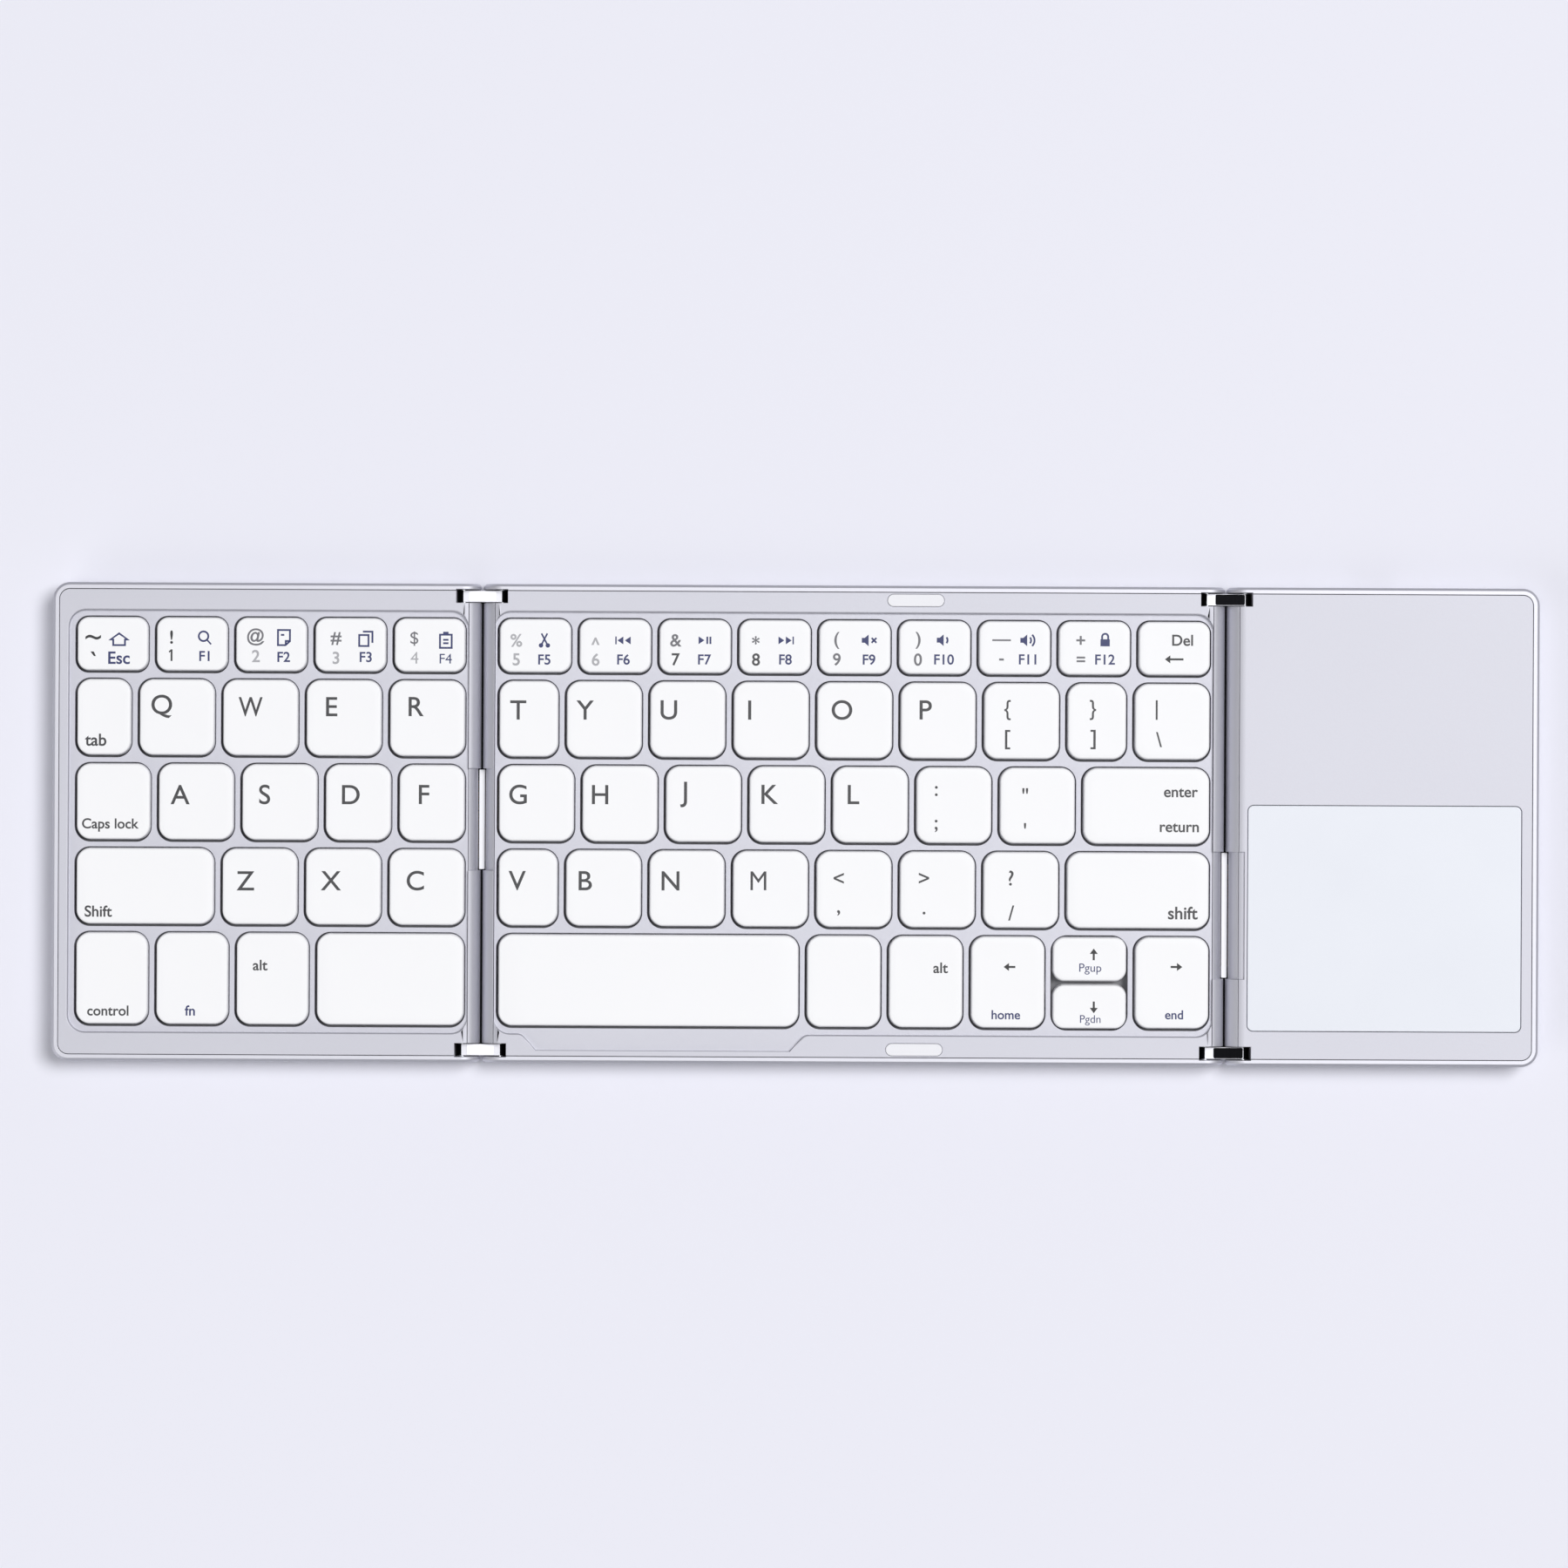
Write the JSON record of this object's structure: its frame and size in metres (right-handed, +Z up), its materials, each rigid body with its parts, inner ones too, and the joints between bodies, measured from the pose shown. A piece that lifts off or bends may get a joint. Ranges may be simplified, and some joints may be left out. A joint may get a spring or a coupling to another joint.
{
  "type": "folding keyboard",
  "caption": "Slim keyboard in three metal-shelled panels that fold on two-pin hinges, with white chiclet keys and a touchpad.",
  "frame": {"origin": "middle of the open keyboard's outline, on the plane its feet rest on", "axes": "+X to the right along the rows of keys, +Y to the rear edge, +Z up out of the keys"},
  "size_m": [0.3046, 0.098, 0.0081],
  "materials": {
    "case_metal": "satin anodised",
    "deck_metal": "satin anodised",
    "key_plastic": "matte",
    "pad_glass": "satin",
    "bright_metal": "polished",
    "dark_metal": "polished black",
    "guard_plastic": "semi gloss",
    "pin_steel": "turned",
    "white_rubber": "matte",
    "grey_rubber": "matte",
    "dome_rubber": "matte",
    "membrane_film": "satin",
    "magnet_metal": "nickel plated",
    "board_laminate": "satin",
    "battery_foil": "satin",
    "socket_metal": "satin",
    "flex_film": "satin"
  },
  "bodies": {
    "middle": {"mid_case": "case_metal", "mid_deck": "deck_metal", "mid_dome_sheet": "dome_rubber", "mid_membrane": "membrane_film", "mid_magnets": "magnet_metal", "mid_bumpers": "white_rubber", "mid_feet": "grey_rubber"},
    "left_hinge": {"left_hinge_beam": "dark_metal", "left_end_links": "bright_metal", "left_hinge_pins": "pin_steel", "left_cable_guard": "guard_plastic", "left_flex_cable": "flex_film"},
    "left_panel": {"left_case": "case_metal", "left_deck": "deck_metal", "left_dome_sheet": "dome_rubber", "left_membrane": "membrane_film", "left_magnets": "magnet_metal", "left_feet": "grey_rubber"},
    "right_hinge": {"right_hinge_beam": "dark_metal", "right_end_links": "dark_metal", "right_hinge_pins": "pin_steel", "right_cable_guard": "guard_plastic", "right_flex_cable": "flex_film"},
    "right_panel": {"right_case": "case_metal", "right_deck": "deck_metal", "touchpad": "pad_glass", "touchpad_board": "board_laminate", "main_board": "board_laminate", "battery": "battery_foil", "usb_socket": "socket_metal", "right_magnets": "magnet_metal", "right_feet": "grey_rubber"},
    "key_esc": {"key_esc": "key_plastic"},
    "keys_1_to_4": {"keys_1_to_4": "key_plastic"},
    "key_tab": {"key_tab": "key_plastic"},
    "keys_q_to_r": {"keys_q_to_r": "key_plastic"},
    "key_caps_lock": {"key_caps_lock": "key_plastic"},
    "keys_a_to_f": {"keys_a_to_f": "key_plastic"},
    "key_left_shift": {"key_left_shift": "key_plastic"},
    "keys_z_to_c": {"keys_z_to_c": "key_plastic"},
    "key_control": {"key_control": "key_plastic"},
    "key_fn": {"key_fn": "key_plastic"},
    "key_left_alt": {"key_left_alt": "key_plastic"},
    "key_left_space": {"key_left_space": "key_plastic"},
    "keys_5_to_8": {"keys_5_to_8": "key_plastic"},
    "keys_9_to_equals": {"keys_9_to_equals": "key_plastic"},
    "key_del": {"key_del": "key_plastic"},
    "keys_t_to_o": {"keys_t_to_o": "key_plastic"},
    "keys_p_to_backslash": {"keys_p_to_backslash": "key_plastic"},
    "keys_g_to_quote": {"keys_g_to_quote": "key_plastic"},
    "key_enter": {"key_enter": "key_plastic"},
    "keys_v_to_slash": {"keys_v_to_slash": "key_plastic"},
    "key_right_shift": {"key_right_shift": "key_plastic"},
    "key_right_space": {"key_right_space": "key_plastic"},
    "key_option": {"key_option": "key_plastic"},
    "key_right_alt": {"key_right_alt": "key_plastic"},
    "key_left_arrow": {"key_left_arrow": "key_plastic"},
    "key_up_arrow": {"key_up_arrow": "key_plastic"},
    "key_down_arrow": {"key_down_arrow": "key_plastic"},
    "key_right_arrow": {"key_right_arrow": "key_plastic"}
  },
  "joints": [
    {"name": "fold_left_inner", "type": "hinge", "parent": "middle", "child": "left_hinge", "pos_m": [-0.0605, 0, 0.0041], "axis": [0, 1, 0], "range_deg": [0, 90], "deforming": ["left_flex_cable"]},
    {"name": "fold_left_outer", "type": "hinge", "parent": "left_hinge", "child": "left_panel", "pos_m": [-0.0683, 0, 0.0041], "axis": [0, 1, 0], "range_deg": [0, 90], "deforming": ["left_flex_cable"]},
    {"name": "fold_right_inner", "type": "hinge", "parent": "middle", "child": "right_hinge", "pos_m": [0.08425, 0, 0.0041], "axis": [0, -1, 0], "range_deg": [0, 90], "deforming": ["right_flex_cable"]},
    {"name": "fold_right_outer", "type": "hinge", "parent": "right_hinge", "child": "right_panel", "pos_m": [0.09205, 0, 0.0041], "axis": [0, -1, 0], "range_deg": [0, 90], "deforming": ["right_flex_cable"]},
    {"name": "press_esc", "type": "slide", "parent": "left_panel", "child": "key_esc", "axis": [0, 0, -1], "range_m": [0, 0.0012], "stiffness_N_per_m": 400, "springref_m": -0.0004, "deforming": ["left_dome_sheet"]},
    {"name": "press_1_to_4", "type": "slide", "parent": "left_panel", "child": "keys_1_to_4", "axis": [0, 0, -1], "range_m": [0, 0.0012], "stiffness_N_per_m": 400, "springref_m": -0.0004, "deforming": ["left_dome_sheet"]},
    {"name": "press_tab", "type": "slide", "parent": "left_panel", "child": "key_tab", "axis": [0, 0, -1], "range_m": [0, 0.0012], "stiffness_N_per_m": 400, "springref_m": -0.0004, "deforming": ["left_dome_sheet"]},
    {"name": "press_q_to_r", "type": "slide", "parent": "left_panel", "child": "keys_q_to_r", "axis": [0, 0, -1], "range_m": [0, 0.0012], "stiffness_N_per_m": 400, "springref_m": -0.0004, "deforming": ["left_dome_sheet"]},
    {"name": "press_caps_lock", "type": "slide", "parent": "left_panel", "child": "key_caps_lock", "axis": [0, 0, -1], "range_m": [0, 0.0012], "stiffness_N_per_m": 400, "springref_m": -0.0004, "deforming": ["left_dome_sheet"]},
    {"name": "press_a_to_f", "type": "slide", "parent": "left_panel", "child": "keys_a_to_f", "axis": [0, 0, -1], "range_m": [0, 0.0012], "stiffness_N_per_m": 400, "springref_m": -0.0004, "deforming": ["left_dome_sheet"]},
    {"name": "press_left_shift", "type": "slide", "parent": "left_panel", "child": "key_left_shift", "axis": [0, 0, -1], "range_m": [0, 0.0012], "stiffness_N_per_m": 400, "springref_m": -0.0004, "deforming": ["left_dome_sheet"]},
    {"name": "press_z_to_c", "type": "slide", "parent": "left_panel", "child": "keys_z_to_c", "axis": [0, 0, -1], "range_m": [0, 0.0012], "stiffness_N_per_m": 400, "springref_m": -0.0004, "deforming": ["left_dome_sheet"]},
    {"name": "press_control", "type": "slide", "parent": "left_panel", "child": "key_control", "axis": [0, 0, -1], "range_m": [0, 0.0012], "stiffness_N_per_m": 400, "springref_m": -0.0004, "deforming": ["left_dome_sheet"]},
    {"name": "press_fn", "type": "slide", "parent": "left_panel", "child": "key_fn", "axis": [0, 0, -1], "range_m": [0, 0.0012], "stiffness_N_per_m": 400, "springref_m": -0.0004, "deforming": ["left_dome_sheet"]},
    {"name": "press_left_alt", "type": "slide", "parent": "left_panel", "child": "key_left_alt", "axis": [0, 0, -1], "range_m": [0, 0.0012], "stiffness_N_per_m": 400, "springref_m": -0.0004, "deforming": ["left_dome_sheet"]},
    {"name": "press_left_space", "type": "slide", "parent": "left_panel", "child": "key_left_space", "axis": [0, 0, -1], "range_m": [0, 0.0012], "stiffness_N_per_m": 400, "springref_m": -0.0004, "deforming": ["left_dome_sheet"]},
    {"name": "press_5_to_8", "type": "slide", "parent": "middle", "child": "keys_5_to_8", "axis": [0, 0, -1], "range_m": [0, 0.0012], "stiffness_N_per_m": 400, "springref_m": -0.0004, "deforming": ["mid_dome_sheet"]},
    {"name": "press_9_to_equals", "type": "slide", "parent": "middle", "child": "keys_9_to_equals", "axis": [0, 0, -1], "range_m": [0, 0.0012], "stiffness_N_per_m": 400, "springref_m": -0.0004, "deforming": ["mid_dome_sheet"]},
    {"name": "press_del", "type": "slide", "parent": "middle", "child": "key_del", "axis": [0, 0, -1], "range_m": [0, 0.0012], "stiffness_N_per_m": 400, "springref_m": -0.0004, "deforming": ["mid_dome_sheet"]},
    {"name": "press_t_to_o", "type": "slide", "parent": "middle", "child": "keys_t_to_o", "axis": [0, 0, -1], "range_m": [0, 0.0012], "stiffness_N_per_m": 400, "springref_m": -0.0004, "deforming": ["mid_dome_sheet"]},
    {"name": "press_p_to_backslash", "type": "slide", "parent": "middle", "child": "keys_p_to_backslash", "axis": [0, 0, -1], "range_m": [0, 0.0012], "stiffness_N_per_m": 400, "springref_m": -0.0004, "deforming": ["mid_dome_sheet"]},
    {"name": "press_g_to_quote", "type": "slide", "parent": "middle", "child": "keys_g_to_quote", "axis": [0, 0, -1], "range_m": [0, 0.0012], "stiffness_N_per_m": 400, "springref_m": -0.0004, "deforming": ["mid_dome_sheet"]},
    {"name": "press_enter", "type": "slide", "parent": "middle", "child": "key_enter", "axis": [0, 0, -1], "range_m": [0, 0.0012], "stiffness_N_per_m": 400, "springref_m": -0.0004, "deforming": ["mid_dome_sheet"]},
    {"name": "press_v_to_slash", "type": "slide", "parent": "middle", "child": "keys_v_to_slash", "axis": [0, 0, -1], "range_m": [0, 0.0012], "stiffness_N_per_m": 400, "springref_m": -0.0004, "deforming": ["mid_dome_sheet"]},
    {"name": "press_right_shift", "type": "slide", "parent": "middle", "child": "key_right_shift", "axis": [0, 0, -1], "range_m": [0, 0.0012], "stiffness_N_per_m": 400, "springref_m": -0.0004, "deforming": ["mid_dome_sheet"]},
    {"name": "press_right_space", "type": "slide", "parent": "middle", "child": "key_right_space", "axis": [0, 0, -1], "range_m": [0, 0.0012], "stiffness_N_per_m": 400, "springref_m": -0.0004, "deforming": ["mid_dome_sheet"]},
    {"name": "press_option", "type": "slide", "parent": "middle", "child": "key_option", "axis": [0, 0, -1], "range_m": [0, 0.0012], "stiffness_N_per_m": 400, "springref_m": -0.0004, "deforming": ["mid_dome_sheet"]},
    {"name": "press_right_alt", "type": "slide", "parent": "middle", "child": "key_right_alt", "axis": [0, 0, -1], "range_m": [0, 0.0012], "stiffness_N_per_m": 400, "springref_m": -0.0004, "deforming": ["mid_dome_sheet"]},
    {"name": "press_left_arrow", "type": "slide", "parent": "middle", "child": "key_left_arrow", "axis": [0, 0, -1], "range_m": [0, 0.0012], "stiffness_N_per_m": 400, "springref_m": -0.0004, "deforming": ["mid_dome_sheet"]},
    {"name": "press_up_arrow", "type": "slide", "parent": "middle", "child": "key_up_arrow", "axis": [0, 0, -1], "range_m": [0, 0.0012], "stiffness_N_per_m": 400, "springref_m": -0.0004, "deforming": ["mid_dome_sheet"]},
    {"name": "press_down_arrow", "type": "slide", "parent": "middle", "child": "key_down_arrow", "axis": [0, 0, -1], "range_m": [0, 0.0012], "stiffness_N_per_m": 400, "springref_m": -0.0004, "deforming": ["mid_dome_sheet"]},
    {"name": "press_right_arrow", "type": "slide", "parent": "middle", "child": "key_right_arrow", "axis": [0, 0, -1], "range_m": [0, 0.0012], "stiffness_N_per_m": 400, "springref_m": -0.0004, "deforming": ["mid_dome_sheet"]}
  ]
}
